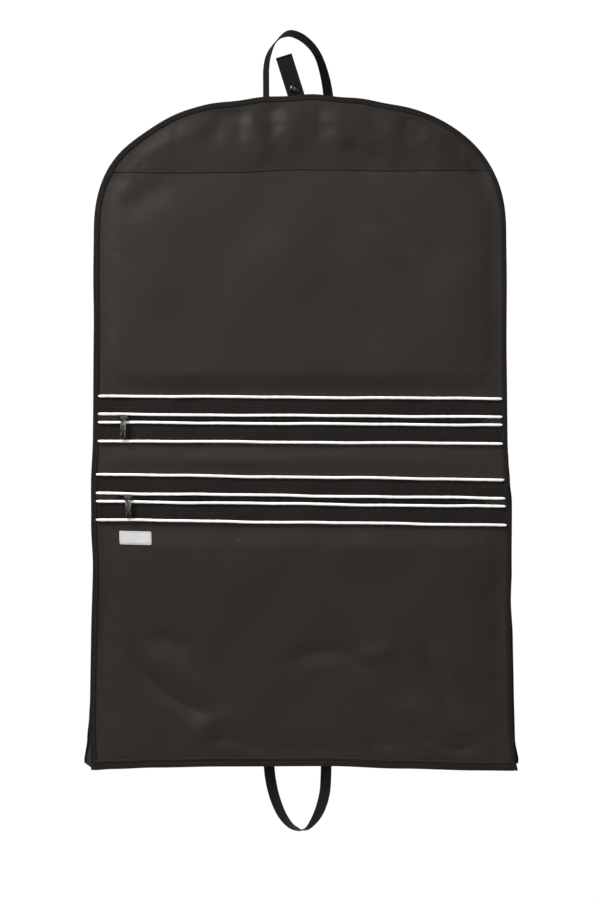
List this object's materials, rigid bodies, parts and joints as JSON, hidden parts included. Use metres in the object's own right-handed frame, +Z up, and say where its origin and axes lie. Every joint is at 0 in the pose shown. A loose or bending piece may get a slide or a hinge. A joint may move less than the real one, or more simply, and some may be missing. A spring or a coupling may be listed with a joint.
{
  "type": "garment bag",
  "caption": "Folding hanging garment bag with an arched top, zipped front pockets, white piping, webbing handles and a snap tab.",
  "frame": {"origin": "middle of the bag's top edge, at the slot that the hanger's hook comes out of", "axes": "+Z up as the bag hangs, +X to the right seen from the front, the front with the pockets faces -Y"},
  "size_m": [0.633, 0.052, 1.1797],
  "materials": {
    "shell_fabric": "fine twill weave, charcoal brown, slight sheen",
    "yoke_fabric": "same weave as the shell, a shade darker",
    "ribbed_band": "dark grosgrain with fine level ribs",
    "binding_tape": "matt woven tape with edge stitching",
    "webbing": "black woven webbing",
    "white_piping": "white woven piping",
    "zip_tape": "black zip tape with a nylon coil",
    "pocket_lining": "thin plain lining",
    "label_fabric": "light grey woven label with no lettering",
    "zip_metal": "polished gunmetal",
    "snap_metal": "black lacquered snap"
  },
  "bodies": {
    "upper_half": {"front_yoke": "yoke_fabric", "front_upper_panel": "shell_fabric", "front_mid_upper": "shell_fabric", "pocket1_band_upper": "ribbed_band", "pocket1_band_lower": "ribbed_band", "pocket1_zip": "zip_tape", "pocket1_zip_tab_left": "shell_fabric", "pocket1_zip_tab_right": "shell_fabric", "pocket1_piping_1": "white_piping", "pocket1_piping_2": "white_piping", "pocket1_piping_3": "white_piping", "pocket1_piping_4": "white_piping", "pocket1_lining": "pocket_lining", "back_upper_left": "shell_fabric", "back_upper_right": "shell_fabric", "back_zip_upper": "zip_tape", "gusset_arch_left": "shell_fabric", "gusset_arch_right": "shell_fabric", "gusset_side_upper_left": "shell_fabric", "gusset_side_upper_right": "shell_fabric", "hanger_slot": "webbing", "binding_front_upper": "binding_tape", "binding_back_upper": "binding_tape", "tab_strap": "webbing", "snap_stud": "snap_metal"},
    "lower_half": {"front_mid_lower": "shell_fabric", "front_lower_panel": "shell_fabric", "pocket2_band_upper": "ribbed_band", "pocket2_band_lower": "ribbed_band", "pocket2_zip": "zip_tape", "pocket2_zip_tab_left": "shell_fabric", "pocket2_zip_tab_right": "shell_fabric", "pocket2_piping_1": "white_piping", "pocket2_piping_2": "white_piping", "pocket2_piping_3": "white_piping", "pocket2_piping_4": "white_piping", "pocket2_lining": "pocket_lining", "label": "label_fabric", "back_lower_left": "shell_fabric", "back_lower_right": "shell_fabric", "back_zip_lower": "zip_tape", "gusset_side_lower_left": "shell_fabric", "gusset_side_lower_right": "shell_fabric", "gusset_bottom": "shell_fabric", "binding_front_lower": "binding_tape", "binding_back_lower": "binding_tape"},
    "pocket1_slider": {"pocket1_slider": "zip_metal"},
    "pocket1_pull": {"pocket1_pull": "zip_metal"},
    "pocket2_slider": {"pocket2_slider": "zip_metal"},
    "pocket2_pull": {"pocket2_pull": "zip_metal"},
    "back_zip_upper_slider": {"back_zip_upper_slider": "zip_metal"},
    "back_zip_upper_pull": {"back_zip_upper_pull": "zip_metal"},
    "back_zip_lower_slider": {"back_zip_lower_slider": "zip_metal"},
    "back_zip_lower_pull": {"back_zip_lower_pull": "zip_metal"},
    "tab_flap": {"tab_flap": "webbing", "snap_cap": "snap_metal", "snap_socket": "snap_metal"},
    "top_handle": {"top_handle": "webbing"},
    "bottom_handle": {"bottom_handle": "webbing"}
  },
  "joints": [
    {"name": "fold", "type": "hinge", "parent": "upper_half", "child": "lower_half", "pos_m": [0, 0.024, -0.538], "axis": [1, 0, 0], "range_deg": [0, 175], "stiffness_Nm_per_rad": 0.15, "springref_deg": -57.3},
    {"name": "pocket1_zip_slide", "type": "slide", "parent": "upper_half", "child": "pocket1_slider", "axis": [1, 0, -0.0068], "range_m": [0, 0.515]},
    {"name": "pocket1_pull_hinge", "type": "hinge", "parent": "pocket1_slider", "child": "pocket1_pull", "pos_m": [-0.261, -0.0238, -0.47723], "axis": [-1, 0, 0], "range_deg": [0, 150]},
    {"name": "pocket2_zip_slide", "type": "slide", "parent": "lower_half", "child": "pocket2_slider", "axis": [0.9999, 0, -0.0129], "range_m": [0, 0.51]},
    {"name": "pocket2_pull_hinge", "type": "hinge", "parent": "pocket2_slider", "child": "pocket2_pull", "pos_m": [-0.2545, -0.0238, -0.59432], "axis": [-1, 0, 0], "range_deg": [0, 150]},
    {"name": "back_zip_upper_slide", "type": "slide", "parent": "upper_half", "child": "back_zip_upper_slider", "axis": [0, 0, 1], "range_m": [-0.415, 0]},
    {"name": "back_zip_upper_pull_hinge", "type": "hinge", "parent": "back_zip_upper_slider", "child": "back_zip_upper_pull", "pos_m": [0, 0.0238, -0.066], "axis": [1, 0, 0], "range_deg": [0, 150]},
    {"name": "back_zip_lower_slide", "type": "slide", "parent": "lower_half", "child": "back_zip_lower_slider", "axis": [0, 0, -1], "range_m": [-0.36, 0]},
    {"name": "back_zip_lower_pull_hinge", "type": "hinge", "parent": "back_zip_lower_slider", "child": "back_zip_lower_pull", "pos_m": [0, 0.0238, -0.954], "axis": [1, 0, 0], "range_deg": [0, 150]},
    {"name": "tab_flap_hinge", "type": "hinge", "parent": "upper_half", "child": "tab_flap", "pos_m": [-0.0232, -0.01665, 0.05672], "axis": [-0.9537, 0, -0.3007], "range_deg": [0, 120]},
    {"name": "top_handle_swing", "type": "hinge", "parent": "upper_half", "child": "top_handle", "pos_m": [-0.004, 0, -0.0022], "axis": [1, 0, 0], "range_deg": [-70, 70]},
    {"name": "bottom_handle_swing", "type": "hinge", "parent": "lower_half", "child": "bottom_handle", "pos_m": [-0.004, 0, -0.9928], "axis": [-1, 0, 0], "range_deg": [-70, 70]}
  ]
}
